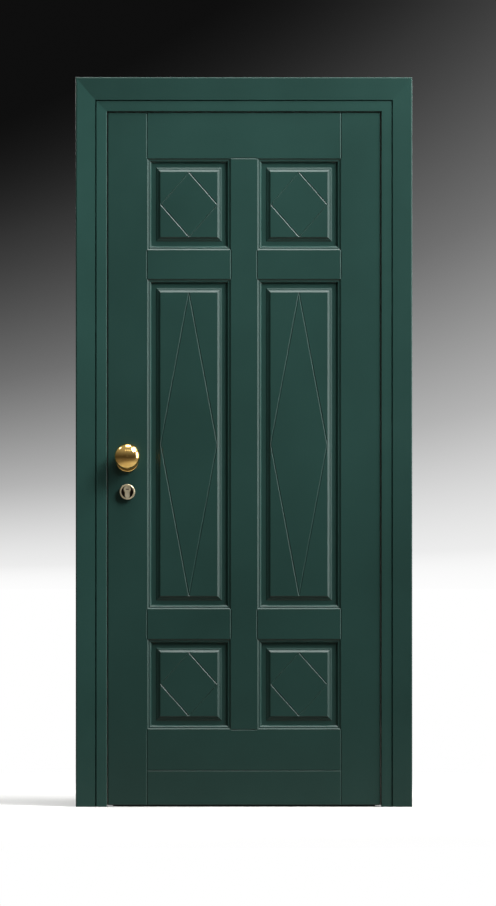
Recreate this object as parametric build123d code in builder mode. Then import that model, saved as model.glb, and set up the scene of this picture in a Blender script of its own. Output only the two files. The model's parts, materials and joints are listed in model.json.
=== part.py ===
from build123d import *
from math import atan2, degrees, hypot
import os

# Six-panel armoured front door with its frame and outside casings, in millimetres.
# Seen from outside: X to the right, Y into the building, Z up from the floor.
# The origin is on the floor, at the middle of the doorway and of the leaf's depth.

# Doorway between the frame's stops, and the leaf's running gaps
opening_width = 840
opening_height = 2128
floor_gap = 5
leaf_gap = 3
slide_gap = 0.3
pin_gap = 0.05

# Layers of the leaf, from outside to inside
cladding_depth = 22
core_depth = 50
inner_board = 8
leaf_sheet = 1.5

# Folded steel frame
frame_sheet = 2
bend_radius = 2.5
band_width = 33
band_proud = 5
gasket_gap = 7
bulb_wall = 1.5
bulb_round = 2.6
rebate_cover = 13
rebate_gap = 5.5
wall_flange = 26
flange_drop = 6
inner_flange = 34
inner_return = 18

# Casings on the wall's outer face
casing_gap = 2.5
casing_width = 59.5
head_casing_height = 69.5
casing_depth = 11
casing_round = 4
casing_inner_round = 1.5
casing_rebate_gap = 0.4

# Cladding members, measured across their face
stile_width = 123
mullion_width = 80
kick_height = 111
bottom_rail = 125
lower_square = 278
lower_cross_rail_height = 90
upper_cross_rail_height = 87
upper_square = 282
top_rail_height = 140
joint_width = 2.2
joint_depth = 1.5
end_chamfer = 1.5

# Panels: moulding, flat moat, stepped bevel and field
panel_base = 11
panel_fit = 0.3
tongue_length = 7
tongue_thickness = 5
groove_fit = 0.2
moulding_width = 14
moulding_below_face = 0.8
moulding_flat = 1
moulding_slope = 4
moulding_slope_drop = 2.8
moulding_shelf = 3.6
moulding_bulge = 0.4
moulding_toe = 1.2
moat_width = 13.5
step_width = 5
step_rise = 3
ledge_width = 1.8
bevel_width = 7
bevel_rise = 5.5
diamond_inset = 0.8
diamond_groove = 4
diamond_depth = 1.4
diamond_root = 0.2

# Handle, cylinder and lock positions on the lock side
backset = 63
handle_height = 1060
cylinder_drop = 96
plug_rise = 8

# Main lock
case_depth = 100
case_above_handle = 50
case_below_handle = 200
case_thickness = 28
case_wall = 2
bolt_radius = 9
bolt_throw = 30
bolt_drop = 42
bolt_pitch = 36
bolt_count = 4
bolt_recess = 0.5
carriage_thickness = 3
carriage_width = 21
carriage_margin = 12
rivet_depth = 1
carriage_clear = 1.5
latch_throw = 12
latch_height = 20
latch_thickness = 14
latch_length = 58
latch_nose = 2
latch_lip = 1
keeper_sheet = 1.5
keeper_clear = 6
keeper_margin = 9
keeper_round = 4
follower_radius = 11
finger_reach = 19
finger_width = 6
finger_gap = 0.6
tail_thickness = 3
tail_rivet = 1
tail_width = 10
tail_hook = 5
tail_rise = 4

# Side locks above and below, and their rods
side_case_depth = 66
side_case_height = 100
side_bolt_pitch = 44
side_bolt_throw = 20
side_lock_rise = 590
side_lock_drop = 630
rod_radius = 5
rod_offset = 54
rod_clear = 6

# Euro-profile cylinder
cylinder_radius = 8.5
cylinder_leg = 10
cylinder_height = 33
cylinder_sunk = 0.8
plug_radius = 6.5
cam_radius = 15
cam_hub = 8.2
cam_width = 10
cam_gap = 0.5
keyway_width = 9.5
keyway_height = 2.6
keyway_depth = 25

# Knob, lever, roses and escutcheons
escutcheon_radius = 24
escutcheon_depth = 12
escutcheon_rim = 5.5
escutcheon_recess = 7
escutcheon_guard = 2.5
inner_plate_radius = 26
inner_plate_depth = 9
rose_radius = 35
rose_depth = 10
rose_round = 4
knob_radius = 39
knob_depth = 48
knob_rim = 15
knob_reach = 70
knob_rise = 13
neck_radius = 14
stud_radius = 5
lever_bar = 8
lever_reach = 70
lever_length = 125
lever_bend = 18
lever_round = 6
spindle_side = 8

# Hinges
hinge_inset = 280
knuckle_radius = 11
knuckle_length = 60
hinge_pin_radius = 6
hinge_pin_cap = 3
hinge_out = 7
hinge_back = 14
wing_thickness = 3
wing_depth = 42
frame_wing_width = 26
knuckle_weld = 2

# Fixed dog bolts in the hinge edge
dog_pitch = 540
dog_radius = 7
dog_reach = 15
dog_root = 18
dog_point = 3

# Foot seal, stiffeners and insulation
seal_housing_width = 14
seal_housing_height = 30
seal_housing_wall = 1.5
seal_inset = 18
seal_lift = 5
seal_slack = 4
seal_rest = 0.4
stiffener_pitch = 220
stiffener_crown = 40
stiffener_foot = 15
stiffener_clear = 6
wool_gap = 1
wool_lock_gap = 8

# Holes
bolt_hole_gap = 1
dog_hole_radius = 10
anchor_hole_radius = 6
anchor_inset = 230
anchor_count = 4
pass_gap = 1.5

# Levels through the leaf's depth
leaf_front = -(cladding_depth + core_depth + inner_board) / 2
core_front = leaf_front + cladding_depth
core_back = core_front + core_depth
leaf_back = core_back + inner_board
core_middle = (core_front + core_back) / 2
band_front = leaf_front - band_proud
stop_back = core_front - gasket_gap
wall_face = band_front + flange_drop + frame_sheet
casing_front = wall_face - casing_depth

# Half widths and heights
opening_half = opening_width / 2
clad_half = opening_half - leaf_gap
clad_top = opening_height - leaf_gap
core_half = opening_half + rebate_cover
core_top = opening_height + rebate_cover
rebate_depth = rebate_cover + rebate_gap
rebate_half = opening_half + rebate_depth
casing_inner = opening_half + band_width + casing_gap
casing_inner_top = opening_height + band_width + casing_gap

# Heights of the rails' edges, where the long panels take up what the others leave
bottom_rail_top = kick_height + bottom_rail
lower_square_top = bottom_rail_top + lower_square
lower_cross_top = lower_square_top + lower_cross_rail_height
upper_square_top = clad_top - top_rail_height
upper_cross_top = upper_square_top - upper_square
long_panel_top = upper_cross_top - upper_cross_rail_height
stile_inner = opening_half - stile_width
mullion_half = mullion_width / 2

# The six panel openings: left, right, bottom, top
left_bay = (-stile_inner, -mullion_half)
right_bay = (mullion_half, stile_inner)
rows = {
    "upper": (upper_cross_top, upper_square_top),
    "middle": (lower_cross_top, long_panel_top),
    "lower": (bottom_rail_top, lower_square_top),
}
openings = {
    f"{row}_{side}": (*bay, *levels)
    for row, levels in rows.items()
    for side, bay in {"left": left_bay, "right": right_bay}.items()
}

# Lock line
lock_x = -(opening_half - backset)
escutcheon_height = handle_height - cylinder_drop
plug_height = escutcheon_height + plug_rise
case_outer = -(core_half - leaf_sheet)
case_bottom = handle_height - case_below_handle
case_top = handle_height + case_above_handle
rod_x = -core_half + rod_offset
bolt_start = -core_half + bolt_recess
top_bolt = handle_height - bolt_drop
bolt_heights = [top_bolt - place * bolt_pitch for place in reversed(range(bolt_count))]
half_side_pitch = side_bolt_pitch / 2
side_heights = {"upper": handle_height + side_lock_rise, "lower": handle_height - side_lock_drop}
side_bolt_heights = {
    name: [height - half_side_pitch, height + half_side_pitch] for name, height in side_heights.items()
}
all_bolt_heights = bolt_heights + side_bolt_heights["upper"] + side_bolt_heights["lower"]
latch_hole = (latch_thickness + 2 * bolt_hole_gap, latch_height + 2 * bolt_hole_gap)
latch_guide = (latch_thickness + 2 * slide_gap, latch_height + 2 * slide_gap)

# Hinge line, dog bolts and wall anchors
hinge_x = core_half + hinge_out
hinge_y = leaf_back + hinge_back
hinge_heights = {"upper": opening_height - hinge_inset, "lower": hinge_inset}
dog_heights = [handle_height + place * dog_pitch for place in (-1, 0, 1)]
anchor_pitch = (opening_height - 2 * anchor_inset) / (anchor_count - 1)
anchor_heights = [anchor_inset + place * anchor_pitch for place in range(anchor_count)]

os.makedirs("parts", exist_ok=True)


def write(piece, name):
    """Label a finished piece and write its STEP file."""
    piece.label = name
    export_step(piece, f"parts/{name}.step")


def span(x0, x1, y0, y1, z0, z1, mode=Mode.ADD):
    """A box between two corners, in the part that is being built."""
    with Locations(((x0 + x1) / 2, (y0 + y1) / 2, (z0 + z1) / 2)):
        Box(x1 - x0, y1 - y0, z1 - z0, mode=mode)


def outward(y):
    """The plane at depth y, with its normal pointing out of the building."""
    return Plane.XZ.offset(-y)


def across(x):
    """The plane at x, with local axes Y and Z."""
    return Plane.YZ.offset(x)


# Frame


def frame_profile():
    """Folded section round the doorway: X away from the opening, Y into the building."""
    points = [
        (band_width + wall_flange, wall_face - frame_sheet),
        (band_width, wall_face - frame_sheet),
        (band_width, band_front),
        (0, band_front),
        (0, stop_back),
        (rebate_depth, stop_back),
        (rebate_depth, leaf_back),
        (rebate_depth + inner_flange, leaf_back),
        (rebate_depth + inner_flange, leaf_back - inner_return),
    ]
    with BuildSketch() as profile:
        with BuildLine():
            FilletPolyline(*points, radius=bend_radius)
            offset(amount=frame_sheet, side=Side.LEFT)
        make_face()
    return profile.sketch


def casing_profile(width):
    """Flat casing with rounded edges, rebated at the back over the frame's flange."""
    inner = band_width + casing_gap
    over_flange = (wall_flange - casing_gap + casing_rebate_gap, frame_sheet + casing_rebate_gap)
    with BuildSketch() as profile:
        with Locations((inner, casing_front)):
            Rectangle(width, casing_depth, align=(Align.MIN, Align.MIN))
        front = profile.vertices().group_by(Axis.Y)[0].sort_by(Axis.X)
        fillet(front[-1], casing_round)
        fillet(front[0], casing_inner_round)
        with Locations((inner, wall_face)):
            Rectangle(*over_flange, align=(Align.MIN, Align.MAX), mode=Mode.SUBTRACT)
    return profile.sketch


def mitre(start, run, hand=1):
    """The cut through an inner corner that leads outwards along the run, its normal upwards."""
    corner_x, corner_z = start
    run_x, run_z = run
    return Plane(origin=(hand * corner_x, 0, corner_z), x_dir=(0, 1, 0), z_dir=(-hand * run_z, 0, run_x))


def upright(section, start, run):
    """A right-hand upright of the section, cut to its mitre at the top."""
    with BuildPart() as piece:
        with BuildSketch(Plane.XY):
            with Locations((opening_half, 0)):
                add(section)
        extrude(amount=start[1] + run[1])
        split(bisect_by=mitre(start, run), keep=Keep.BOTTOM)
    return piece.part


def crosspiece(section, start, run):
    """A head of the section, mitred at both ends."""
    reach = start[0] + run[0]
    with BuildPart() as piece:
        with BuildSketch(Plane(origin=(reach, 0, opening_height), x_dir=(0, 0, 1), z_dir=(-1, 0, 0))):
            add(section)
        extrude(amount=2 * reach)
        split(bisect_by=mitre(start, run), keep=Keep.TOP)
        split(bisect_by=mitre(start, run, -1), keep=Keep.TOP)
    return piece.part


frame_section = frame_profile()
frame_corner = (opening_half, opening_height)
frame_run = (band_width + wall_flange, band_width + wall_flange)
right_jamb = upright(frame_section, frame_corner, frame_run)

with BuildPart() as frame_jamb_hinge_side:
    add(right_jamb)
    with BuildSketch(across(rebate_half - frame_sheet)):
        with Locations(*[(core_middle, height) for height in dog_heights]):
            Circle(dog_hole_radius)
        with Locations(*[(core_middle, height) for height in anchor_heights]):
            Circle(anchor_hole_radius)
    extrude(amount=3 * frame_sheet, mode=Mode.SUBTRACT)
write(frame_jamb_hinge_side.part, "frame_jamb_hinge_side")

with BuildPart() as frame_jamb_lock_side:
    mirror(right_jamb, about=Plane.YZ)
    with BuildSketch(across(-rebate_half + frame_sheet)):
        with Locations(*[(core_middle, height) for height in all_bolt_heights]):
            Circle(bolt_radius + bolt_hole_gap)
        with Locations(*[(core_middle, height) for height in anchor_heights]):
            Circle(anchor_hole_radius)
        with Locations((core_middle, handle_height)):
            Rectangle(*latch_hole)
    extrude(amount=-3 * frame_sheet, mode=Mode.SUBTRACT)
write(frame_jamb_lock_side.part, "frame_jamb_lock_side")

with BuildPart() as frame_head:
    add(crosspiece(frame_section, frame_corner, frame_run))
    with BuildSketch(Plane.XY.offset(opening_height + rebate_depth - frame_sheet)):
        with Locations((rod_x, core_middle)):
            Circle(rod_radius + bolt_hole_gap)
    extrude(amount=3 * frame_sheet, mode=Mode.SUBTRACT)
write(frame_head.part, "frame_head")

casing_corner = (casing_inner, casing_inner_top)
casing_run = (casing_width, head_casing_height)
right_casing = upright(casing_profile(casing_width), casing_corner, casing_run)
write(right_casing, "casing_hinge_side")
write(mirror(right_casing, about=Plane.YZ), "casing_lock_side")
write(crosspiece(casing_profile(head_casing_height), casing_corner, casing_run), "casing_head")

# Hollow rubber bulb in the rebate, seated on the back of the stop
bulb_width = rebate_cover - leaf_gap
bulb_depth = gasket_gap - slide_gap
with BuildPart() as frame_gasket:
    with BuildLine():
        Polyline(
            (-opening_half, stop_back, 0),
            (-opening_half, stop_back, opening_height),
            (opening_half, stop_back, opening_height),
            (opening_half, stop_back, 0),
        )
    with BuildSketch(Plane(origin=(-opening_half, stop_back, 0), x_dir=(-1, 0, 0), z_dir=(0, 0, 1))):
        with Locations((leaf_gap + bulb_width / 2, -bulb_depth / 2)):
            RectangleRounded(bulb_width, bulb_depth, bulb_round)
            hollow = (bulb_width - 2 * bulb_wall, bulb_depth - 2 * bulb_wall)
            RectangleRounded(*hollow, bulb_round - bulb_wall, mode=Mode.SUBTRACT)
    sweep(transition=Transition.RIGHT)
write(frame_gasket.part, "frame_gasket")

# Keep plate round the latch's hole, short of the top main bolt's hole
keeper_height = 2 * (bolt_drop - bolt_radius - bolt_hole_gap - keeper_clear)
with BuildPart() as latch_keep:
    with BuildSketch(across(-rebate_half)):
        with Locations((core_middle, handle_height)):
            RectangleRounded(latch_thickness + 2 * keeper_margin, keeper_height, keeper_round)
            Rectangle(*latch_hole, mode=Mode.SUBTRACT)
    extrude(amount=keeper_sheet)
write(latch_keep.part, "latch_keep")


# Cladding members, butted and dowelled, with a V cut down each joint and round the leaf's outline

rail_joints = [
    (floor_gap, bottom_rail_top),
    (lower_square_top, lower_cross_top),
    (long_panel_top, upper_cross_top),
    (upper_square_top, clad_top),
]
upright_joints = {clad_half: [(floor_gap, clad_top)], stile_inner: rail_joints, mullion_half: rail_joints[1:3]}
level_joints = {
    floor_gap: clad_half,
    kick_height: stile_inner,
    bottom_rail_top: mullion_half,
    upper_square_top: mullion_half,
    clad_top: clad_half,
}


def joint_groove(start_x, start_z, end_x, end_z):
    """The V along one line of the leaf's face, from its start up or to the right."""
    run = Vector(end_x - start_x, 0, end_z - start_z)
    with BuildSketch(Plane(origin=(start_x, leaf_front, start_z), x_dir=(0, 1, 0), z_dir=run)) as groove:
        Polygon((joint_depth, 0), (0, joint_width), (0, -joint_width), align=None)
    extrude(groove.sketch, amount=run.length)


with BuildPart() as joint_grooves:
    for half, levels in upright_joints.items():
        for low, high in levels:
            joint_groove(-half, low, -half, high)
            joint_groove(half, low, half, high)
    for height, half in level_joints.items():
        joint_groove(-half, height, half, height)


def member(x0, x1, z0, z1):
    """A cladding member, ploughed with a groove wherever a panel's tongue runs into it."""
    with BuildPart() as piece:
        with BuildSketch(outward(core_front)):
            with Locations(((x0 + x1) / 2, (z0 + z1) / 2)):
                Rectangle(x1 - x0, z1 - z0)
        extrude(amount=cladding_depth)
        add(joint_grooves.part, mode=Mode.SUBTRACT)
        reach = tongue_length + groove_fit
        half_groove = tongue_thickness / 2 + groove_fit
        middle = core_front - panel_base / 2
        for left, right, low, high in openings.values():
            beside = left - reach < x1 and right + reach > x0
            level = low - reach < z1 and high + reach > z0
            if beside and level:
                span(
                    left - reach, right + reach, middle - half_groove, middle + half_groove,
                    low - reach, high + reach, Mode.SUBTRACT,
                )
    return piece.part


def euro_profile(grow=0.0):
    """The cylinder's outline: a round top round the plug and a narrower leg below."""
    with BuildSketch() as outline:
        Circle(cylinder_radius + grow)
        leg_bottom = cylinder_radius - cylinder_height + cylinder_leg / 2
        with Locations((0, leg_bottom)):
            Circle(cylinder_leg / 2 + grow)
        with Locations((0, leg_bottom / 2)):
            Rectangle(cylinder_leg + 2 * grow, -leg_bottom)
    return outline.sketch


cylinder_hole = euro_profile(pass_gap)


def lock_holes(y0, depth, spindle_radius=stud_radius + pass_gap):
    """Cut the cylinder's outline and the spindle's hole, from y0 towards the outside."""
    with BuildSketch(outward(y0)) as holes:
        with Locations((lock_x, plug_height)):
            add(cylinder_hole)
        with Locations((lock_x, handle_height)):
            Circle(spindle_radius)
    extrude(holes.sketch, amount=depth, mode=Mode.SUBTRACT)


bays = {"left": left_bay, "right": right_bay}

with BuildPart() as stile_lock_side:
    add(member(-clad_half, -stile_inner, floor_gap, clad_top))
    lock_holes(core_front, cladding_depth)
write(stile_lock_side.part, "stile_lock_side")
write(member(stile_inner, clad_half, floor_gap, clad_top), "stile_hinge_side")
write(member(-stile_inner, stile_inner, upper_square_top, clad_top), "top_rail")
write(member(-mullion_half, mullion_half, bottom_rail_top, upper_square_top), "mullion")
write(member(-stile_inner, stile_inner, kick_height, bottom_rail_top), "bottom_rail")
write(member(-stile_inner, stile_inner, floor_gap, kick_height), "kick_rail")
for side, (bay_left, bay_right) in bays.items():
    write(member(bay_left, bay_right, long_panel_top, upper_cross_top), f"upper_cross_rail_{side}")
    write(member(bay_left, bay_right, lower_square_top, lower_cross_top), f"lower_cross_rail_{side}")


# Raised panels


def rhombus(half_width, half_height, grow):
    """A diamond whose sides all stand further out by the distance grow."""
    diagonal = hypot(half_width, half_height)
    wide = half_width + grow * diagonal / half_height
    tall = half_height + grow * diagonal / half_width
    Polygon((wide, 0), (0, tall), (-wide, 0), (0, -tall), align=None)


def taper(inset, rise):
    """The extrusion taper, in degrees, that moves each side in by inset over rise."""
    return degrees(atan2(inset, rise))


def raised_panel(x0, x1, z0, z1):
    """A panel with a tongue all round, a stepped bevel, and a diamond cut into its field."""
    centre = ((x0 + x1) / 2, (z0 + z1) / 2)
    width = x1 - x0
    height = z1 - z0
    moat_face = core_front - panel_base
    ledge_face = moat_face - step_rise
    field_face = ledge_face - bevel_rise
    step_edge = moulding_width + moat_width
    ledge_edge = step_edge + step_width + ledge_width
    field_edge = ledge_edge + bevel_width
    tongue_back = core_front - (panel_base - tongue_thickness) / 2
    half_width = width / 2 - field_edge - diamond_inset
    half_height = height / 2 - field_edge - diamond_inset
    groove_taper = taper((diamond_groove - diamond_root) / 2, diamond_depth)
    with BuildPart() as panel:
        with BuildSketch(outward(core_front)):
            with Locations(centre):
                Rectangle(width - 2 * panel_fit, height - 2 * panel_fit)
        extrude(amount=panel_base)
        with BuildSketch(outward(tongue_back)):
            with Locations(centre):
                Rectangle(width + 2 * tongue_length, height + 2 * tongue_length)
        extrude(amount=tongue_thickness)
        with BuildSketch(outward(moat_face)):
            with Locations(centre):
                Rectangle(width - 2 * step_edge, height - 2 * step_edge)
        extrude(amount=step_rise, taper=taper(step_width, step_rise))
        with BuildSketch(outward(ledge_face)):
            with Locations(centre):
                Rectangle(width - 2 * ledge_edge, height - 2 * ledge_edge)
        extrude(amount=bevel_rise, taper=taper(bevel_width, bevel_rise))
        with BuildSketch(outward(field_face)):
            with Locations(centre):
                rhombus(half_width, half_height, diamond_groove / 2)
                inside = field_edge + diamond_inset / 4
                Rectangle(width - 2 * inside, height - 2 * inside, mode=Mode.INTERSECT)
        extrude(amount=-diamond_depth, taper=groove_taper, mode=Mode.SUBTRACT)
        with BuildSketch(outward(field_face + diamond_depth)):
            with Locations(centre):
                rhombus(half_width, half_height, -diamond_root / 2)
        extrude(amount=diamond_depth, taper=groove_taper)
    return panel.part


for name, opening in openings.items():
    write(raised_panel(*opening), f"{name}_panel")


# Panel mouldings, four mitred sticks to an opening


def moulding_profile():
    """Stick section: X from the opening's edge inwards, Y out from the moat's face."""
    top = cladding_depth - panel_base - moulding_below_face
    shelf = top - moulding_slope_drop
    shelf_start = moulding_flat + moulding_slope
    shelf_end = shelf_start + moulding_shelf
    with BuildSketch() as profile:
        with BuildLine():
            Polyline((moulding_width, moulding_toe), (moulding_width, 0), (0, 0), (0, top))
            Polyline((0, top), (moulding_flat, top), (shelf_start, shelf), (shelf_end, shelf))
            SagittaArc((shelf_end, shelf), (moulding_width, moulding_toe), moulding_bulge)
        make_face()
    return profile.sketch


moulding_section = moulding_profile()


def moulding_stick(middle, along, inward, length):
    """A stick centred at middle, cut at 45 degrees at both ends."""
    with BuildPart() as stick:
        with BuildSketch(Plane(origin=middle, x_dir=inward, z_dir=along)):
            add(moulding_section)
        extrude(amount=length / 2, both=True)
        for direction in (along, along * -1):
            corner = middle + direction * (length / 2)
            cut = Plane(origin=corner, x_dir=(0, 1, 0), z_dir=direction + inward)
            split(bisect_by=cut, keep=Keep.BOTTOM)
    return stick.part


def moulding_set(x0, x1, z0, z1):
    """The four sticks round one opening."""
    y = core_front - panel_base
    middle_x = (x0 + x1) / 2
    middle_z = (z0 + z1) / 2
    right = Vector(1, 0, 0)
    up = Vector(0, 0, 1)
    return [
        moulding_stick(Vector(middle_x, y, z0), right, up, x1 - x0),
        moulding_stick(Vector(middle_x, y, z1), right * -1, up * -1, x1 - x0),
        moulding_stick(Vector(x0, y, middle_z), up * -1, right, z1 - z0),
        moulding_stick(Vector(x1, y, middle_z), up, right * -1, z1 - z0),
    ]


for row in rows:
    sticks = moulding_set(*openings[f"{row}_left"]) + moulding_set(*openings[f"{row}_right"])
    write(Compound(children=sticks), f"{row}_mouldings")


# Steel core of the leaf

core_inner_face = core_back - leaf_sheet
housing_y0 = core_middle - seal_housing_width / 2
housing_y1 = core_middle + seal_housing_width / 2
housing_half = opening_half - seal_inset

with BuildPart() as leaf_outer_sheet:
    span(-core_half, core_half, core_front, core_inner_face, floor_gap, core_top)
    offset(amount=-leaf_sheet, openings=leaf_outer_sheet.faces().sort_by(Axis.Y)[-1])
    lock_holes(core_front + leaf_sheet, leaf_sheet)
    with BuildSketch(across(-core_half)):
        with Locations(*[(core_middle, height) for height in all_bolt_heights]):
            Circle(bolt_radius + slide_gap)
        with Locations((core_middle, handle_height)):
            Rectangle(*latch_guide)
    extrude(amount=2 * leaf_sheet, mode=Mode.SUBTRACT)
    with BuildSketch(across(core_half)):
        with Locations(*[(core_middle, height) for height in dog_heights]):
            Circle(dog_radius + pin_gap)
    extrude(amount=-2 * leaf_sheet, mode=Mode.SUBTRACT)
    with BuildSketch(Plane.XY.offset(core_top)):
        with Locations((rod_x, core_middle)):
            Circle(rod_radius + slide_gap)
    extrude(amount=-2 * leaf_sheet, mode=Mode.SUBTRACT)
    foot_slot = (-housing_half, housing_half, housing_y0, housing_y1, 0, floor_gap + 2 * leaf_sheet)
    span(*foot_slot, Mode.SUBTRACT)
write(leaf_outer_sheet.part, "leaf_outer_sheet")

with BuildPart() as leaf_inner_sheet:
    with BuildSketch(outward(core_back)):
        with Locations((0, (floor_gap + core_top) / 2)):
            Rectangle(2 * core_half, core_top - floor_gap)
    extrude(amount=leaf_sheet)
    lock_holes(core_back, leaf_sheet)
write(leaf_inner_sheet.part, "leaf_inner_sheet")

with BuildPart() as interior_panel:
    with BuildSketch(outward(leaf_back)):
        with Locations((0, (floor_gap + core_top) / 2)):
            Rectangle(2 * core_half, core_top - floor_gap)
    extrude(amount=inner_board)
    chamfer(interior_panel.faces().sort_by(Axis.Y)[-1].edges(), end_chamfer)
    lock_holes(leaf_back, inner_board)
write(interior_panel.part, "interior_panel")


def stiffener_profile():
    """Hat section: feet on the outer sheet, crown on the inner one."""
    foot = core_front + leaf_sheet
    crown = core_inner_face - leaf_sheet
    half = stiffener_crown / 2
    points = [
        (-half - stiffener_foot, foot), (-half, foot), (-half, crown),
        (half, crown), (half, foot), (half + stiffener_foot, foot),
    ]
    with BuildSketch() as profile:
        with BuildLine():
            FilletPolyline(*points, radius=bend_radius)
            offset(amount=leaf_sheet, side=Side.LEFT)
        make_face()
    return profile.sketch


stiffener_bottom = floor_gap + seal_housing_height + stiffener_clear
stiffener_top = core_top - leaf_sheet - stiffener_clear
stiffener_xs = [-stiffener_pitch, 0, stiffener_pitch]
hat = stiffener_profile()
with BuildPart() as leaf_stiffeners:
    with BuildSketch(Plane.XY.offset(stiffener_bottom)):
        with Locations(*[(x, 0) for x in stiffener_xs]):
            add(hat)
    extrude(amount=stiffener_top - stiffener_bottom)
write(leaf_stiffeners.part, "leaf_stiffeners")

# Mineral wool between the stiffeners, clear of the lock side
wool_half = stiffener_crown / 2 + leaf_sheet + stiffener_foot + wool_gap
wool_start = case_outer + case_depth + wool_lock_gap
wool_end = core_half - leaf_sheet - dog_root
wool_edges = [wool_start]
for x in stiffener_xs:
    wool_edges += [x - wool_half, x + wool_half]
wool_edges.append(wool_end)
with BuildPart() as insulation:
    for left, right in zip(wool_edges[::2], wool_edges[1::2]):
        span(left, right, core_front + leaf_sheet, core_inner_face, stiffener_bottom, stiffener_top)
write(insulation.part, "insulation")

with BuildPart() as drop_seal_housing:
    with BuildSketch(across(-housing_half)):
        with Locations((core_middle, floor_gap)):
            Rectangle(seal_housing_width, seal_housing_height, align=(Align.CENTER, Align.MIN))
            Rectangle(
                seal_housing_width - 2 * seal_housing_wall, seal_housing_height - seal_housing_wall,
                align=(Align.CENTER, Align.MIN), mode=Mode.SUBTRACT,
            )
    extrude(amount=2 * housing_half)
write(drop_seal_housing.part, "drop_seal_housing")

seal_width = seal_housing_width - 2 * seal_housing_wall - 2 * slide_gap
seal_top = floor_gap + seal_housing_height - seal_housing_wall - seal_lift - seal_slack
seal_half = housing_half - slide_gap
with BuildPart() as drop_seal:
    with BuildSketch(across(-seal_half)):
        with Locations((core_middle, seal_rest)):
            Rectangle(seal_width, seal_top - seal_rest, align=(Align.CENTER, Align.MIN))
    extrude(amount=2 * seal_half)
    lip = drop_seal.faces().sort_by(Axis.Z)[0].edges().filter_by(Axis.X)
    fillet(lip, seal_width / 4)
write(drop_seal.part, "drop_seal")

with BuildPart() as dog_bolts:
    with BuildSketch(across(core_half - dog_root)):
        with Locations(*[(core_middle, height) for height in dog_heights]):
            Circle(dog_radius)
    extrude(amount=dog_root + dog_reach)
    chamfer(dog_bolts.faces().group_by(Axis.X)[-1].edges(), dog_point)
write(dog_bolts.part, "dog_bolts")


# Hinges: each has a fixed knuckle below and the leaf's knuckle above


def knuckle(bottom):
    """A knuckle round the hinge axis."""
    with BuildSketch(Plane.XY.offset(bottom)) as barrel:
        with Locations((hinge_x, hinge_y)):
            Circle(knuckle_radius)
    extrude(barrel.sketch, amount=knuckle_length)


def knuckle_bore(bottom):
    """The pin's bore through a knuckle."""
    with BuildSketch(Plane.XY.offset(bottom)) as bore:
        with Locations((hinge_x, hinge_y)):
            Circle(hinge_pin_radius + pin_gap)
    extrude(bore.sketch, amount=knuckle_length, mode=Mode.SUBTRACT)


pins = []
for name, height in hinge_heights.items():
    frame_bottom = height - knuckle_length - slide_gap / 2
    leaf_bottom = height + slide_gap / 2
    with BuildPart() as frame_wing:
        knuckle(frame_bottom)
        span(
            hinge_x, hinge_x + frame_wing_width, leaf_back, hinge_y - knuckle_radius + knuckle_weld,
            frame_bottom, frame_bottom + knuckle_length,
        )
        knuckle_bore(frame_bottom)
    write(frame_wing.part, f"{name}_hinge_frame_wing")
    with BuildPart() as leaf_wing:
        knuckle(leaf_bottom)
        span(
            core_half, core_half + wing_thickness, leaf_back - wing_depth, hinge_y,
            leaf_bottom, leaf_bottom + knuckle_length,
        )
        knuckle_bore(leaf_bottom)
    write(leaf_wing.part, f"{name}_hinge_leaf_wing")
    with BuildPart() as pin:
        with BuildSketch(Plane.XY.offset(frame_bottom - hinge_pin_cap)):
            with Locations((hinge_x, hinge_y)):
                Circle(knuckle_radius)
        extrude(amount=hinge_pin_cap)
        with BuildSketch(Plane.XY.offset(frame_bottom)):
            with Locations((hinge_x, hinge_y)):
                Circle(hinge_pin_radius)
        extrude(amount=2 * knuckle_length + slide_gap)
        chamfer(pin.faces().sort_by(Axis.Z)[-1].edges(), end_chamfer)
        chamfer(pin.faces().sort_by(Axis.Z)[0].edges(), hinge_pin_cap / 2)
    pins.append(pin.part)
write(Compound(children=pins), "hinge_pins")


# Main lock


case_front = core_middle - case_thickness / 2
case_back = core_middle + case_thickness / 2


def hollow_case(depth, bottom, top, heights):
    """A closed lock case behind the leaf's edge, bored for its bolts."""
    far_side = case_outer + depth
    span(case_outer, far_side, case_front, case_back, bottom, top)
    span(
        case_outer + case_wall, far_side - case_wall, case_front + case_wall, case_back - case_wall,
        bottom + case_wall, top - case_wall, Mode.SUBTRACT,
    )
    with BuildSketch(across(case_outer)) as bores:
        with Locations(*[(core_middle, height) for height in heights]):
            Circle(bolt_radius + slide_gap)
    extrude(bores.sketch, amount=2 * case_wall, mode=Mode.SUBTRACT)


def rod_bores(bottom, top):
    """Holes for a rod through a case's floor and roof."""
    with BuildSketch(Plane.XY.offset(bottom)) as bore:
        with Locations((rod_x, core_middle)):
            Circle(rod_radius + slide_gap)
    extrude(bore.sketch, amount=top - bottom, mode=Mode.SUBTRACT)


def bolts_on_carriage(heights, throw):
    """Round bolts riveted to a flat carriage, which clears the case's wall when thrown."""
    plate_y = core_middle + bolt_radius
    plate_end = case_outer + case_wall + throw + carriage_clear + carriage_width
    length = plate_end - bolt_start
    with BuildPart() as bolts:
        with BuildSketch(across(bolt_start)):
            with Locations(*[(core_middle, height) for height in heights]):
                Circle(bolt_radius)
        extrude(amount=length)
        chamfer(bolts.faces().group_by(Axis.X)[0].edges(), end_chamfer)
        with BuildSketch(outward(plate_y + carriage_thickness - rivet_depth)):
            with Locations((plate_end - carriage_width / 2, (heights[0] + heights[-1]) / 2)):
                Rectangle(carriage_width, heights[-1] - heights[0] + 2 * carriage_margin)
        extrude(amount=carriage_thickness)
    return bolts.part


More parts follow.
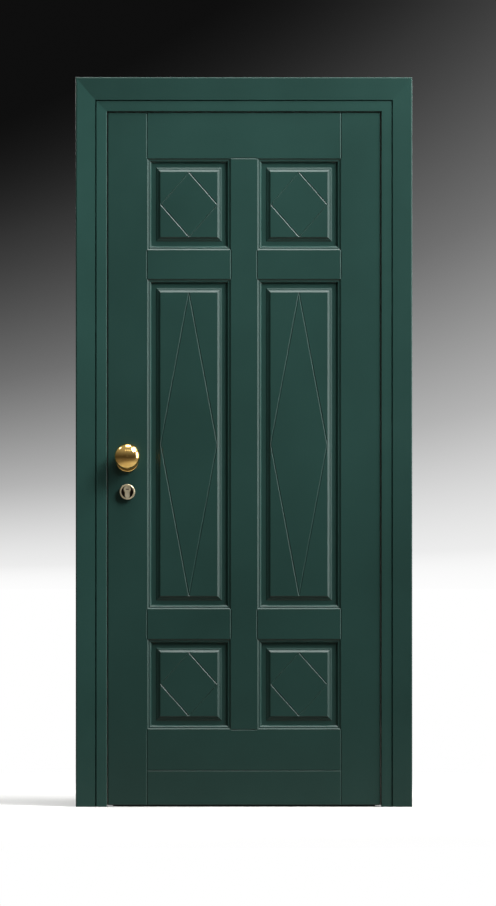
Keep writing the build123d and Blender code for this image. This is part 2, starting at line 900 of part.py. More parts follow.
with BuildPart() as lock_case:
    hollow_case(case_depth, case_bottom, case_top, bolt_heights)
    rod_bores(case_bottom, case_bottom + case_wall)
    rod_bores(case_top - case_wall, case_top)
    lock_holes(case_back, case_thickness, spindle_radius=follower_radius)
    with BuildSketch(across(case_outer)):
        with Locations((core_middle, handle_height)):
            Rectangle(*latch_guide)
    extrude(amount=2 * case_wall, mode=Mode.SUBTRACT)
write(lock_case.part, "lock_case")

write(bolts_on_carriage(bolt_heights, bolt_throw), "main_bolts")

# Latch, bevelled on the side that meets the keep as the leaf closes, with a riveted tail
# whose hook the follower's finger pulls back
latch_end = -core_half - latch_throw
latch_y0 = core_middle - latch_thickness / 2
latch_y1 = core_middle + latch_thickness / 2
tail_start = latch_end + latch_length - latch_height
tail_end = tail_start + tail_width
tail_foot = handle_height - latch_height / 2
tail_top = handle_height + finger_reach + tail_rise
hook_start = lock_x + finger_width / 2 + finger_gap
hook_end = hook_start + tail_hook
hook_foot = handle_height + follower_radius + slide_gap
with BuildPart() as latch_bolt:
    with BuildSketch(Plane.XY.offset(handle_height - latch_height / 2)):
        Polygon(
            (latch_end + latch_length, latch_y0), (-core_half - latch_lip, latch_y0),
            (latch_end, latch_y1 - latch_nose), (latch_end, latch_y1), (latch_end + latch_length, latch_y1),
            align=None,
        )
    extrude(amount=latch_height)
    with BuildSketch(outward(latch_y1 + tail_thickness - tail_rivet)):
        Polygon(
            (tail_start, tail_foot), (tail_end, tail_foot), (tail_end, tail_top),
            (hook_start, tail_top), (hook_start, hook_foot), (hook_end, hook_foot),
            (hook_end, tail_top + tail_hook), (tail_start, tail_top + tail_hook),
            align=None,
        )
    extrude(amount=tail_thickness)
write(latch_bolt.part, "latch_bolt")

with BuildPart() as lock_follower:
    with BuildSketch(outward(case_back)):
        with Locations((lock_x, handle_height)):
            Circle(follower_radius - slide_gap)
            Rectangle(spindle_side + 2 * pin_gap, spindle_side + 2 * pin_gap, mode=Mode.SUBTRACT)
    extrude(amount=case_thickness)
    with BuildSketch(outward(case_back - case_wall - slide_gap)):
        with Locations((lock_x, handle_height + follower_radius / 2)):
            Rectangle(finger_width, finger_reach - follower_radius / 2, align=(Align.CENTER, Align.MIN))
    extrude(amount=case_thickness - 2 * case_wall - 2 * slide_gap)
write(lock_follower.part, "lock_follower")

for name, height in side_heights.items():
    heights = side_bolt_heights[name]
    low = height - side_case_height / 2
    high = height + side_case_height / 2
    with BuildPart() as side_case:
        hollow_case(side_case_depth, low, high, heights)
        rod_bores(low, high)
    write(side_case.part, f"{name}_side_lock_case")
    write(bolts_on_carriage(heights, side_bolt_throw), f"{name}_side_bolts")


def rod(bottom, top):
    """A locking rod between two heights."""
    with BuildSketch(Plane.XY.offset(bottom)) as section:
        with Locations((rod_x, core_middle)):
            Circle(rod_radius)
    extrude(section.sketch, amount=top - bottom)


with BuildPart() as upper_rod:
    rod(handle_height + latch_height / 2 + rod_clear, core_top - bolt_recess)
    chamfer(upper_rod.faces().sort_by(Axis.Z)[-1].edges(), end_chamfer)
write(upper_rod.part, "upper_rod")

with BuildPart() as lower_rod:
    rod(side_heights["lower"] - side_case_height / 2 - case_wall, bolt_heights[0] - bolt_radius - rod_clear)
write(lower_rod.part, "lower_rod")


# Cylinder

cylinder_front = leaf_front - escutcheon_depth + cylinder_sunk
cylinder_back = leaf_back + inner_plate_depth - cylinder_sunk
cam_front = core_middle - cam_width / 2
cam_back = core_middle + cam_width / 2

with BuildPart() as cylinder_body:
    with BuildSketch(outward(cylinder_back)):
        with Locations((lock_x, plug_height)):
            add(euro_profile())
            Circle(plug_radius + pin_gap, mode=Mode.SUBTRACT)
    extrude(amount=cylinder_back - cylinder_front)
    with BuildSketch(outward(cam_back + cam_gap)):
        with Locations((lock_x, plug_height)):
            Circle(cam_radius + cam_gap)
    extrude(amount=cam_width + 2 * cam_gap, mode=Mode.SUBTRACT)
write(cylinder_body.part, "cylinder_body")

with BuildPart() as key_plug:
    with BuildSketch(outward(cam_front)):
        with Locations((lock_x, plug_height)):
            Circle(plug_radius)
    extrude(amount=cam_front - cylinder_front)
    with BuildSketch(outward(cylinder_front + keyway_depth)):
        with Locations((lock_x, plug_height)):
            Rectangle(keyway_width, keyway_height)
    extrude(amount=keyway_depth, mode=Mode.SUBTRACT)
write(key_plug.part, "key_plug")

with BuildPart() as inner_key_plug:
    with BuildSketch(outward(cylinder_back)):
        with Locations((lock_x, plug_height)):
            Circle(plug_radius)
    extrude(amount=cylinder_back - cam_back)
    with BuildSketch(outward(cylinder_back)):
        with Locations((lock_x, plug_height)):
            Rectangle(keyway_width, keyway_height)
    extrude(amount=keyway_depth, mode=Mode.SUBTRACT)
write(inner_key_plug.part, "inner_key_plug")

with BuildPart() as cylinder_cam:
    with BuildSketch(outward(cam_back)):
        with Locations((lock_x, plug_height)):
            Circle(cam_hub)
            with Locations((0, -cam_radius / 2)):
                Rectangle(cylinder_leg - 2 * cam_gap, cam_radius)
            Circle(cam_radius, mode=Mode.INTERSECT)
    extrude(amount=cam_width)
write(cylinder_cam.part, "cylinder_cam")


# Roses, escutcheons, knob and lever

with BuildPart() as outer_escutcheon:
    with BuildSketch(outward(leaf_front)):
        with Locations((lock_x, escutcheon_height)):
            Circle(escutcheon_radius)
    extrude(amount=escutcheon_depth)
    fillet(outer_escutcheon.faces().sort_by(Axis.Y)[0].edges(), escutcheon_rim / 2)
    with BuildSketch(outward(leaf_front - escutcheon_depth)):
        with Locations((lock_x, escutcheon_height)):
            Circle(escutcheon_radius - escutcheon_rim)
        with Locations((lock_x, plug_height)):
            add(euro_profile(escutcheon_guard), mode=Mode.SUBTRACT)
    extrude(amount=-escutcheon_recess, mode=Mode.SUBTRACT)
    with BuildSketch(outward(leaf_front)):
        with Locations((lock_x, plug_height)):
            add(euro_profile(slide_gap))
    extrude(amount=escutcheon_depth, mode=Mode.SUBTRACT)
write(outer_escutcheon.part, "outer_escutcheon")

with BuildPart() as inner_escutcheon:
    with BuildSketch(outward(leaf_back + inner_plate_depth)):
        with Locations((lock_x, escutcheon_height)):
            Circle(inner_plate_radius)
    extrude(amount=inner_plate_depth)
    fillet(inner_escutcheon.faces().sort_by(Axis.Y)[-1].edges(), rose_round / 2)
    with BuildSketch(outward(leaf_back + inner_plate_depth)):
        with Locations((lock_x, plug_height)):
            add(euro_profile(slide_gap))
    extrude(amount=inner_plate_depth, mode=Mode.SUBTRACT)
write(inner_escutcheon.part, "inner_escutcheon")

with BuildPart() as knob_rose:
    with BuildSketch(outward(leaf_front)):
        with Locations((lock_x, handle_height)):
            Circle(rose_radius)
    extrude(amount=rose_depth)
    fillet(knob_rose.faces().sort_by(Axis.Y)[0].edges(), rose_round)
    with BuildSketch(outward(leaf_front)):
        with Locations((lock_x, handle_height)):
            Circle(stud_radius + slide_gap)
    extrude(amount=rose_depth, mode=Mode.SUBTRACT)
write(knob_rose.part, "knob_rose")

# Fixed knob, a flattened ball turned from three tangent arcs, on a neck that leans up from the rose
rose_face = leaf_front - rose_depth
knob_middle = leaf_front - knob_reach + knob_depth / 2
knob_height = handle_height + knob_rise
rim_x = knob_radius - knob_rim
rim_rise = knob_depth / 2 - knob_rim
dome_back = (rim_x**2 - rim_rise**2) / (2 * rim_rise)
dome_radius = dome_back + knob_depth / 2
dome_angle = degrees(atan2(rim_x, dome_back))
with BuildPart() as knob:
    with BuildSketch(Plane(origin=(lock_x, knob_middle, knob_height), x_dir=(1, 0, 0), z_dir=(0, 0, 1))):
        with BuildLine():
            CenterArc((0, dome_back), dome_radius, -90, dome_angle)
            CenterArc((rim_x, 0), knob_rim, dome_angle - 90, 180 - 2 * dome_angle)
            CenterArc((0, -dome_back), dome_radius, 90 - dome_angle, dome_angle)
            Line((0, knob_depth / 2), (0, -knob_depth / 2))
        make_face()
    revolve(axis=Axis((lock_x, knob_middle, knob_height), (0, 1, 0)))
    with BuildSketch(outward(rose_face)):
        with Locations((lock_x, handle_height)):
            Circle(neck_radius)
    with BuildSketch(outward(knob_middle)):
        with Locations((lock_x, knob_height)):
            Circle(neck_radius)
    loft()
    with BuildSketch(outward(core_front)):
        with Locations((lock_x, handle_height)):
            Circle(stud_radius)
    extrude(amount=core_front - rose_face)
write(knob.part, "knob")

with BuildPart() as lever_rose:
    with BuildSketch(outward(leaf_back + inner_plate_depth)):
        with Locations((lock_x, handle_height)):
            Circle(inner_plate_radius)
    extrude(amount=inner_plate_depth)
    fillet(lever_rose.faces().sort_by(Axis.Y)[-1].edges(), rose_round / 2)
    with BuildSketch(outward(leaf_back + inner_plate_depth)):
        with Locations((lock_x, handle_height)):
            Circle(lever_bar + slide_gap)
    extrude(amount=inner_plate_depth, mode=Mode.SUBTRACT)
write(lever_rose.part, "lever_rose")

# Round-bar lever with a square spindle through the follower
lever_y = leaf_back + lever_reach - lever_bar
lever_start = leaf_back + slide_gap
with BuildPart() as lever:
    with BuildLine():
        FilletPolyline(
            (lock_x, lever_start, handle_height),
            (lock_x, lever_y, handle_height),
            (lock_x + lever_length, lever_y, handle_height),
            radius=lever_bend,
        )
    with BuildSketch(Plane(origin=(lock_x, lever_start, handle_height), x_dir=(1, 0, 0), z_dir=(0, 1, 0))):
        Circle(lever_bar)
    sweep()
    fillet(lever.faces().sort_by(Axis.X)[-1].edges(), lever_round)
    with BuildSketch(outward(lever_start)):
        with Locations((lock_x, handle_height)):
            Rectangle(spindle_side, spindle_side)
    extrude(amount=lever_start - case_front)
write(lever.part, "lever")
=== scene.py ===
import json
import math

import bmesh
import bpy
from mathutils import Matrix, Vector


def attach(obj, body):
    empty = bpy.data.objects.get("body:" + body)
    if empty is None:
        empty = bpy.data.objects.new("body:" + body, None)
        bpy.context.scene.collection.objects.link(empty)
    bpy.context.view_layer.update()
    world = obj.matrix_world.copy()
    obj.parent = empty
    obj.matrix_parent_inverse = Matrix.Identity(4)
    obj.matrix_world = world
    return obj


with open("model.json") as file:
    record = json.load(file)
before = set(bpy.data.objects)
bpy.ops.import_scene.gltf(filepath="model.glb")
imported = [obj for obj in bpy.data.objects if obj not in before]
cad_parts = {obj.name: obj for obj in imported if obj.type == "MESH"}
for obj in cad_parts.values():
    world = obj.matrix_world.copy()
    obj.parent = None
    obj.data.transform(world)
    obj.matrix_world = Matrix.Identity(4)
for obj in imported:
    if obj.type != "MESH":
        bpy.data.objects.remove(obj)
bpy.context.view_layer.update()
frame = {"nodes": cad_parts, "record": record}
nodes = frame["nodes"]
scene = bpy.context.scene

# The photograph: size in pixels, scale on the object, and where the door stands in it
PHOTO_WIDTH = 496
PHOTO_HEIGHT = 906
METRES_PER_PIXEL = 0.00306
DOOR_CENTRE_PX = 244.0
DOOR_FOOT_PX = 806.9
CAMERA_DISTANCE = 25.0
SENSOR_HEIGHT = 36
VIEW_DEPTH = 200

# Paint, as linear colour, and painted light and shade on the frame's members: each member's paint
# is made lighter or darker against the leaf's, as light falls across the door
GREEN = (0.0165, 0.0508, 0.0430, 1.0)
GREEN_DARK = (0.0130, 0.0410, 0.0345, 1.0)
GREEN_LIGHT = (0.0210, 0.0610, 0.0520, 1.0)
PAINTED_LIGHT_FACTORS = {
    "casing_lock_side": 1.36,
    "casing_hinge_side": 0.97,
    "casing_head": 0.90,
    "frame_jamb_lock_side": 1.42,
    "frame_jamb_hinge_side": 1.06,
    "frame_head": 1.06,
}
PAINT_ROUGHNESS = 0.31
PAINT_SHEEN = 0.3
ALONG_Z = (1, 1, 0.06)
ALONG_X = (0.06, 1, 1)

# Lock cylinder's painted shade: the depths between which a recess is painted black, as the shade
# that falls in it
RECESS_PAINTED_SHADE = (0.020, 0.010, 0.005, 1)
ESCUTCHEON_RIM_Y = -0.0512
ESCUTCHEON_FLOOR_Y = -0.0500
PLUG_RIM_Y = -0.0511
PLUG_FLOOR_Y = -0.0503

# Rounding of the sharp edges, by material slot
EDGE_ROUNDING = {
    "painted_wood": 0.0005,
    "bright_steel": 0.0006,
    "interior_laminate": 0.0006,
}
ROUNDED_FROM = math.radians(25)

# Screws: a head's radius and how far it stands proud, and where they sit
SCREW_RADIUS = 0.0034
SCREW_RISE = 0.36 * SCREW_RADIUS
SCREW_SIDES = 48
SCREW_CROSS = (0.16, 0.22)
SCREW_RINGS = ((0.0, -0.35), (0.16, -0.35), (0.22, 0.0), (0.86, 0.0), (1.0, -0.12), (1.0, -0.5))
FRAME_WING_X = 0.458
FRAME_WING_FACE_Y = 0.045
LEAF_WING_FACE_X = 0.436
LEAF_WING_LIFT = 0.0603
HINGE_FEET = {"upper": 1.7879, "lower": 0.2199}
WING_SCREWS = ((0.012, 0.006), (0.030, 0.026), (0.048, 0.006))
LEAF_EDGE_X = -0.433
LEAF_EDGE_Y = 0.007
EDGE_SCREWS = {
    "lower_side_case_foot": 0.386,
    "lower_side_case_top": 0.476,
    "lock_case_foot": 0.872,
    "cylinder": 0.965,
    "lock_case_top": 1.098,
    "upper_side_case_foot": 1.606,
    "upper_side_case_top": 1.696,
}

# Floor and world
FLOOR_SIZE = 80
FLOOR_FADE = (0.5, 2.8)
FLOOR_MIRRORED_FAR = 6.0
FLOOR_UNSEEN = (0.05, 0.05, 0.05, 1)
AMBIENT = 0.018
AMBIENT_BEHIND = 0.42
BACKDROP_RISE = (-0.0167, 0.055)
BACKDROP_SIDE = 0.030
BACKDROP_LEAN = (1.25, 0.70)
BACKDROP_SHADES = (
    (0.0, 1.0), (0.05, 0.92), (0.22, 0.42), (0.45, 0.13), (0.75, 0.018), (1.0, 0.002),
)
CEILING = (
    (0.50, (0.100, 0.083, 0.060, 1)),
    (0.53, (0.100, 0.083, 0.060, 1)),
    (0.66, (0.20, 0.19, 0.17, 1)),
    (0.85, (0.48, 0.45, 0.40, 1)),
)

# Lights: place, target, width, height, power, colour and spread in degrees
MIDDLE = (0, 0, 1.15)
WHITE = (1, 1, 1)
WARM = (1, 0.97, 0.93)
WIDE = 180
LIGHTS = {
    "key": ((3.0, -2.05, 4.5), (0.2, 0, 2.0), 2.0, 2.0, 122, WHITE, 95),
    "overhead": ((0.3, -1.7, 7.8), MIDDLE, 3.0, 1.6, 240, WHITE, WIDE),
    "right_side": ((4.3, -1.2, 1.7), (0, 0, 1.45), 1.6, 2.8, 95, WHITE, WIDE),
    "upper_left": ((-3.4, -1.0, 4.65), MIDDLE, 0.8, 0.8, 15, WHITE, WIDE),
    "window_left": ((-1.1, -3.6, 4.3), MIDDLE, 0.50, 0.70, 2, WARM, WIDE),
    "window_middle": ((0.0, -3.6, 4.3), MIDDLE, 0.50, 0.70, 2, WARM, WIDE),
    "window_right": ((1.1, -3.6, 4.3), MIDDLE, 0.50, 0.70, 2, WARM, WIDE),
    "back_fill": ((-2.0, 4.5, 3.4), MIDDLE, 3.0, 2.5, 160, WHITE, WIDE),
    "back_side": ((3.2, 3.0, 1.6), MIDDLE, 1.0, 2.5, 50, WHITE, WIDE),
}


# Node trees


class Nodes:
    """A node tree, with short calls for the nodes used here."""

    def __init__(self, tree):
        self.tree = tree

    def add(self, kind, **settings):
        node = self.tree.nodes.new(kind)
        for key, value in settings.items():
            setattr(node, key, value)
        return node

    def link(self, output, socket):
        self.tree.links.new(output, socket)

    def ramp(self, factor, stops, interpolation="LINEAR"):
        ramp = self.add("ShaderNodeValToRGB")
        ramp.color_ramp.interpolation = interpolation
        elements = ramp.color_ramp.elements
        while len(elements) < len(stops):
            elements.new(0.5)
        for element, (position, colour) in zip(elements, stops):
            element.position = position
            element.color = colour
        self.link(factor, ramp.inputs["Fac"])
        return ramp.outputs["Color"]

    def mapped(self, factor, start, end, low=0.0, high=1.0, interpolation="LINEAR"):
        """The factor's span from start to end, mapped to low to high."""
        span = self.add("ShaderNodeMapRange", interpolation_type=interpolation)
        limits = {"From Min": start, "From Max": end, "To Min": low, "To Max": high}
        for socket, value in limits.items():
            span.inputs[socket].default_value = value
        self.link(factor, span.inputs["Value"])
        return span.outputs["Result"]

    def product(self, first, second):
        product = self.add("ShaderNodeMath", operation="MULTIPLY")
        self.link(first, product.inputs[0])
        self.link(second, product.inputs[1])
        return product.outputs["Value"]

    def mix(self, factor, first, second):
        """A mix of two colours, each an output or a fixed value."""
        mix = self.add("ShaderNodeMix", data_type="RGBA")
        self.link(factor, mix.inputs["Factor"])
        for socket, value in (("A", first), ("B", second)):
            if isinstance(value, tuple):
                mix.inputs[socket].default_value = value
            else:
                self.link(value, mix.inputs[socket])
        return mix.outputs["Result"]


class Surface(Nodes):
    """A material's node tree."""

    def __init__(self, name):
        self.material = bpy.data.materials.new(name)
        self.material.use_nodes = True
        super().__init__(self.material.node_tree)
        self.shader = self.tree.nodes["Principled BSDF"]

    def set(self, **values):
        for key, value in values.items():
            self.shader.inputs[key.replace("_", " ")].default_value = value

    def place(self):
        return self.add("ShaderNodeTexCoord").outputs["Object"]

    def noise(self, scale, detail=3.0, roughness=0.5, stretch=(1, 1, 1)):
        mapping = self.add("ShaderNodeMapping")
        mapping.inputs["Scale"].default_value = stretch
        self.link(self.place(), mapping.inputs["Vector"])
        noise = self.add("ShaderNodeTexNoise")
        noise.inputs["Scale"].default_value = scale
        noise.inputs["Detail"].default_value = detail
        noise.inputs["Roughness"].default_value = roughness
        self.link(mapping.outputs["Vector"], noise.inputs["Vector"])
        return noise.outputs["Fac"]

    def bump(self, height, strength, distance, below=None):
        bump = self.add("ShaderNodeBump")
        bump.inputs["Strength"].default_value = strength
        bump.inputs["Distance"].default_value = distance
        self.link(height, bump.inputs["Height"])
        if below is not None:
            self.link(below, bump.inputs["Normal"])
        return bump.outputs["Normal"]


# Materials


def toned(colour, light_factor):
    """The colour made lighter or darker by a factor."""
    return tuple(channel * light_factor for channel in colour[:3]) + (1.0,)


def painted(name, light_factor, grain_along):
    """Sprayed satin paint over timber or steel: faint clouding, fine orange peel, faint grain,
    and painted light or shade, its colours made lighter or darker by a factor.
    """
    m = Surface(name)
    shades = [
        (0.25, toned(GREEN_DARK, light_factor)),
        (0.55, toned(GREEN, light_factor)),
        (0.85, toned(GREEN_LIGHT, light_factor)),
    ]
    m.link(m.ramp(m.noise(2.3, 4.0, 0.55), shades), m.shader.inputs["Base Color"])
    dull_patches = m.noise(60.0, 3.0)
    roughness = m.mapped(dull_patches, 0, 1, PAINT_ROUGHNESS - 0.05, PAINT_ROUGHNESS + 0.06)
    m.link(roughness, m.shader.inputs["Roughness"])
    grain = m.bump(m.noise(160.0, 5.0, 0.6, grain_along), 0.10, 0.0004)
    peel = m.bump(m.noise(900.0, 2.0, 0.5), 0.12, 0.0002, grain)
    m.link(peel, m.shader.inputs["Normal"])
    m.set(Specular_IOR_Level=PAINT_SHEEN)
    return m.material


def metal(
    name, colour, dull, roughness, brushed=(1, 1, 1), scratch=0.05, scratch_scale=400.0,
    metallic=1.0, painted_shade_depths=None,
):
    """Polished or brushed metal with slight tarnish and fine scratches.

    The last argument is a pair of depths, the rim's and the floor's, between which a recess is
    painted black as painted shade.
    """
    m = Surface(name)
    finish_and_shade = m.ramp(m.noise(35.0, 4.0, 0.6), [(0.30, dull), (0.62, colour)])
    if painted_shade_depths is not None:
        split = m.add("ShaderNodeSeparateXYZ")
        m.link(m.place(), split.inputs["Vector"])
        # Painted shade: deeper in than the rim, the colour turns to black, as shade in the recess
        finish_and_shade = m.mix(m.mapped(split.outputs["Y"], *painted_shade_depths), finish_and_shade, RECESS_PAINTED_SHADE)
    m.link(finish_and_shade, m.shader.inputs["Base Color"])
    marks = m.noise(scratch_scale, 3.0, 0.6, brushed)
    m.link(m.mapped(marks, 0, 1, roughness * 0.8, roughness * 1.25), m.shader.inputs["Roughness"])
    m.link(m.bump(marks, scratch, 0.0001), m.shader.inputs["Normal"])
    m.set(Metallic=metallic)
    return m.material


def soft(name, dark, light, roughness, scale, bump, depth):
    """Rubber or wool: mottled colour and a rough surface."""
    m = Surface(name)
    mottle = m.noise(scale, 5.0, 0.65)
    m.link(m.ramp(mottle, [(0.3, dark), (0.7, light)]), m.shader.inputs["Base Color"])
    m.link(m.bump(mottle, bump, depth), m.shader.inputs["Normal"])
    m.set(Roughness=roughness)
    return m.material


paint_upright = painted("paint_upright", 1.0, ALONG_Z)
paint_level = painted("paint_level", 1.0, ALONG_X)
# Lit and shaded copies of the paint, one per frame member: painted light and shade, each scaled
# by its factor above
lit_and_shaded_paint = {
    name: painted(f"paint_{name}", light_factor, ALONG_X if "head" in name else ALONG_Z)
    for name, light_factor in PAINTED_LIGHT_FACTORS.items()
}
steel = metal("galvanised_steel", (0.42, 0.43, 0.44, 1), (0.30, 0.31, 0.33, 1), 0.42)
bright = metal(
    "bright_steel", (0.62, 0.62, 0.61, 1), (0.48, 0.48, 0.47, 1), 0.22, brushed=(1, 1, 0.05),
)
brass = metal(
    "polished_brass", (0.84, 0.60, 0.22, 1), (0.72, 0.47, 0.15, 1), 0.12, scratch=0.02,
)
satin_brass = metal(
    "satin_brass", (0.74, 0.66, 0.47, 1), (0.62, 0.54, 0.36, 1), 0.30,
    scratch_scale=900.0, metallic=0.62,
)
cylinder_metal = metal(
    "cylinder_metal", (0.80, 0.73, 0.55, 1), (0.68, 0.60, 0.42, 1), 0.30, metallic=0.55,
)
# Escutcheon and key plug: their recesses are painted black as painted shade
brass_with_painted_shade = metal(
    "brass_with_painted_shade", (0.76, 0.68, 0.48, 1), (0.64, 0.55, 0.36, 1), 0.30,
    scratch_scale=900.0, metallic=0.62, painted_shade_depths=(ESCUTCHEON_RIM_Y, ESCUTCHEON_FLOOR_Y),
)
plug_metal_with_painted_shade = metal(
    "plug_metal_with_painted_shade", (0.80, 0.73, 0.55, 1), (0.68, 0.60, 0.42, 1), 0.30,
    scratch_scale=900.0, metallic=0.62, painted_shade_depths=(PLUG_RIM_Y, PLUG_FLOOR_Y),
)
aluminium = metal(
    "aluminium", (0.68, 0.69, 0.70, 1), (0.58, 0.59, 0.60, 1), 0.30, brushed=(0.05, 1, 1),
)
rubber = soft(
    "black_rubber", (0.010, 0.010, 0.010, 1), (0.022, 0.022, 0.022, 1), 0.62, 300.0, 0.25, 0.0002,
)
wool = soft(
    "mineral_wool", (0.28, 0.23, 0.09, 1), (0.50, 0.43, 0.22, 1), 0.95, 120.0, 0.9, 0.003,
)

SLOT_MATERIALS = {
    "painted_wood": paint_upright,
    "frame_paint": paint_upright,
    "interior_laminate": paint_upright,
    "steel": steel,
    "bright_steel": bright,
    "polished_brass": brass,
    "satin_brass": satin_brass,
    "mineral_wool": wool,
    "aluminium": aluminium,
    "black_rubber": rubber,
}

SPECIAL = {
    **lit_and_shaded_paint,
    "outer_escutcheon": brass_with_painted_shade,
    "cylinder_body": cylinder_metal,
    "key_plug": plug_metal_with_painted_shade,
    "inner_key_plug": cylinder_metal,
}

slot_of = {entry["node"]: entry["material_slot"] for entry in frame["record"]["subparts"]}
for name, obj in nodes.items():
    material = SPECIAL.get(name, SLOT_MATERIALS[slot_of[name]])
    if "rail" in name:
        material = paint_level
    for slot in obj.material_slots:
        slot.material = material


# Soft edges on the timber, the bright steel and the interior panel

for name, obj in nodes.items():
    width = EDGE_ROUNDING.get(slot_of[name])
    if width:
        bevel = obj.modifiers.new("soft_edges", "BEVEL")
        bevel.width = width
        bevel.segments = 2
        bevel.limit_method = "ANGLE"
        bevel.angle_limit = ROUNDED_FROM
        bevel.harden_normals = False


# Screws on the hinges and the leaf's lock edge


def screw(name, place, facing, body):
    """A screw head with a cross recess, its face at place and its axis along facing."""
    mesh = bpy.data.meshes.new(name)
    work = bmesh.new()
    loops = []
    for share, rise in SCREW_RINGS:
        loop = []
        for step in range(SCREW_SIDES):
            angle = 2 * math.pi * step / SCREW_SIDES
            cross = 1.0
            if share in SCREW_CROSS:
                cross = 1.0 + 1.4 * max(0.0, math.cos(4 * angle)) ** 3
            reach = share * SCREW_RADIUS * cross
            corner = (reach * math.cos(angle), reach * math.sin(angle), rise * SCREW_RADIUS)
            loop.append(work.verts.new(corner))
        loops.append(loop)
    for inner, outer in zip(loops, loops[1:]):
        for step in range(SCREW_SIDES):
            after = (step + 1) % SCREW_SIDES
            work.faces.new((inner[step], outer[step], outer[after], inner[after]))
    bmesh.ops.remove_doubles(work, verts=work.verts, dist=1e-7)
    bmesh.ops.recalc_face_normals(work, faces=work.faces)
    work.to_mesh(mesh)
    work.free()
    obj = bpy.data.objects.new(name, mesh)
    mesh.materials.append(bright)
    turn = Vector((0, 0, 1)).rotation_difference(Vector(facing)).to_matrix().to_4x4()
    obj.matrix_world = Matrix.Translation(Vector(place)) @ turn
    scene.collection.objects.link(obj)
    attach(obj, body)


for hinge, foot in HINGE_FEET.items():
    for step, (rise, depth) in enumerate(WING_SCREWS):
        frame_place = (FRAME_WING_X, FRAME_WING_FACE_Y + SCREW_RISE, foot + rise)
        screw(f"{hinge}_frame_screw_{step}", frame_place, (0, 1, 0), "frame")
        leaf_place = (LEAF_WING_FACE_X + SCREW_RISE, depth, foot + LEAF_WING_LIFT + rise)
        screw(f"{hinge}_leaf_screw_{step}", leaf_place, (1, 0, 0), "leaf")
for name, height in EDGE_SCREWS.items():
    screw(f"{name}_screw", (LEAF_EDGE_X - SCREW_RISE, LEAF_EDGE_Y, height), (-1, 0, 0), "leaf")


# Stage


def floor_finish():
    """Pale floor that fades into the white background, and looks darker in reflections."""
    m = Surface("floor_finish")
    pale = m.ramp(m.noise(3.0), [(0.3, (0.78, 0.78, 0.77, 1)), (0.7, (0.82, 0.82, 0.81, 1))])
    paths = m.add("ShaderNodeLightPath")
    length = m.add("ShaderNodeVectorMath", operation="LENGTH")
    m.link(m.place(), length.inputs[0])
    distance = m.mapped(length.outputs["Value"], 0, FLOOR_MIRRORED_FAR)
    mirrored = m.ramp(distance, [(0.16, (0.44, 0.40, 0.34, 1)), (0.32, (0.15, 0.12, 0.09, 1))])
    unseen = m.mix(paths.outputs["Is Glossy Ray"], FLOOR_UNSEEN, mirrored)
    colour = m.mix(paths.outputs["Is Camera Ray"], unseen, pale)
    m.link(colour, m.shader.inputs["Base Color"])
    m.set(Roughness=0.7)
    glow = m.add("ShaderNodeEmission")
    glow.inputs["Color"].default_value = (1, 1, 1, 1)
    fade = m.mapped(length.outputs["Value"], *FLOOR_FADE, interpolation="SMOOTHSTEP")
    blend = m.add("ShaderNodeMixShader")
    m.link(m.product(fade, paths.outputs["Is Camera Ray"]), blend.inputs["Fac"])
    m.link(m.shader.outputs["BSDF"], blend.inputs[1])
    m.link(glow.outputs["Emission"], blend.inputs[2])
    m.link(blend.outputs["Shader"], m.tree.nodes["Material Output"].inputs["Surface"])
    return m.material


bpy.ops.mesh.primitive_plane_add(size=FLOOR_SIZE, location=(0, 0, 0))
floor = bpy.context.object
floor.name = "floor"
floor.data.materials.append(floor_finish())


def backdrop(w, direction):
    """What the camera sees over the floor: white at the horizon, darker upwards and leftwards."""
    rise = w.mapped(direction["Z"], *BACKDROP_RISE)
    lean = w.mapped(direction["X"], -BACKDROP_SIDE, BACKDROP_SIDE, *BACKDROP_LEAN)
    stops = [(position, (shade, shade, shade, 1)) for position, shade in BACKDROP_SHADES]
    return w.ramp(w.product(rise, lean), stops, "B_SPLINE")


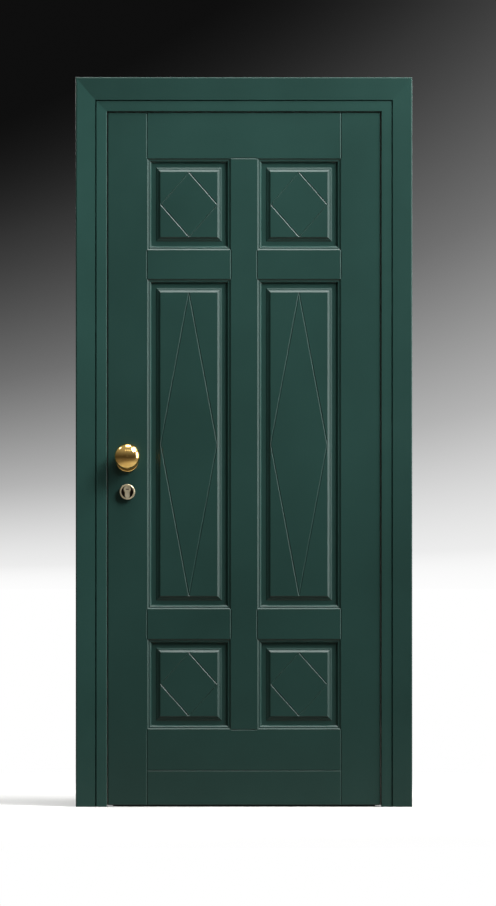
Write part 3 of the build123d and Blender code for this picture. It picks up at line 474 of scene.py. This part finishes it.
def studio():
    """A graded backdrop to the camera, dim light on the paint, and a ceiling in reflections."""
    world = bpy.data.worlds.new("studio")
    world.use_nodes = True
    w = Nodes(world.node_tree)
    background = w.tree.nodes["Background"]
    background.inputs["Strength"].default_value = 1.0
    paths = w.add("ShaderNodeLightPath")
    split = w.add("ShaderNodeSeparateXYZ")
    w.link(w.add("ShaderNodeTexCoord").outputs["Generated"], split.inputs["Vector"])
    direction = split.outputs
    ceiling = w.ramp(w.mapped(direction["Z"], -1.0, 1.0), CEILING)
    ambient = w.mapped(direction["Y"], 0.05, 0.45, AMBIENT, AMBIENT_BEHIND)
    unseen = w.mix(paths.outputs["Is Glossy Ray"], ambient, ceiling)
    seen = w.mix(paths.outputs["Is Camera Ray"], unseen, backdrop(w, direction))
    w.link(seen, background.inputs["Color"])
    return world


scene.world = studio()


# Lights and camera


def area_light(name, place, target, width, height, power, colour, spread):
    """A soft box at place, turned to its target."""
    data = bpy.data.lights.new(name, "AREA")
    data.shape = "RECTANGLE"
    data.size = width
    data.size_y = height
    data.energy = power
    data.color = colour
    data.spread = math.radians(spread)
    lamp = bpy.data.objects.new(name, data)
    lamp.location = place
    direction = Vector(target) - Vector(place)
    lamp.rotation_euler = direction.to_track_quat("-Z", "Y").to_euler()
    scene.collection.objects.link(lamp)


for name, settings in LIGHTS.items():
    area_light(name, *settings)


def front_camera():
    """Square on to the door, with the door placed and scaled as in the photograph."""
    data = bpy.data.cameras.new("camera")
    data.sensor_fit = "VERTICAL"
    data.sensor_height = SENSOR_HEIGHT
    data.clip_end = VIEW_DEPTH
    face_y = min(vertex.co.y for vertex in nodes["casing_head"].data.vertices)
    data.lens = SENSOR_HEIGHT * CAMERA_DISTANCE / (PHOTO_HEIGHT * METRES_PER_PIXEL)
    camera = bpy.data.objects.new("camera", data)
    across = (PHOTO_WIDTH / 2 - DOOR_CENTRE_PX) * METRES_PER_PIXEL
    up = (DOOR_FOOT_PX - PHOTO_HEIGHT / 2) * METRES_PER_PIXEL
    camera.location = (across, face_y - CAMERA_DISTANCE, up)
    camera.rotation_euler = (math.radians(90), 0, 0)
    scene.collection.objects.link(camera)
    return camera


scene.camera = front_camera()
scene.view_settings.view_transform = "Standard"
